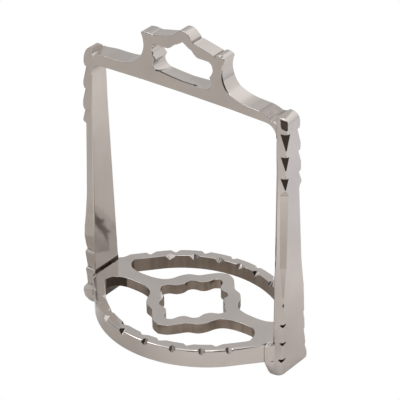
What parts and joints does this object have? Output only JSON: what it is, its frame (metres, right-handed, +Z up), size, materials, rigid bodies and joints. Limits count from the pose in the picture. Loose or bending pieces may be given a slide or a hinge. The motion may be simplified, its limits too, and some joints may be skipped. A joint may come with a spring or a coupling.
{
  "type": "stirrup iron",
  "caption": "Open stirrup iron with two flat tapered uprights, a crown-shaped leather eye, a round foot ring and a wavy open tread.",
  "frame": {"origin": "on the ground, midway between the two feet", "axes": "+X from the left upright to the right upright, +Y through the foot opening from the front to the rear, +Z up towards the leather eye"},
  "size_m": [0.1324, 0.0962, 0.18],
  "materials": {
    "polished_steel": "hand polished, nickel-like, slightly warm"
  },
  "bodies": {
    "root": {"top_bar": "polished_steel", "left_upright": "polished_steel", "right_upright": "polished_steel", "front_bow": "polished_steel", "rear_bow": "polished_steel", "tread": "polished_steel"}
  },
  "joints": []
}
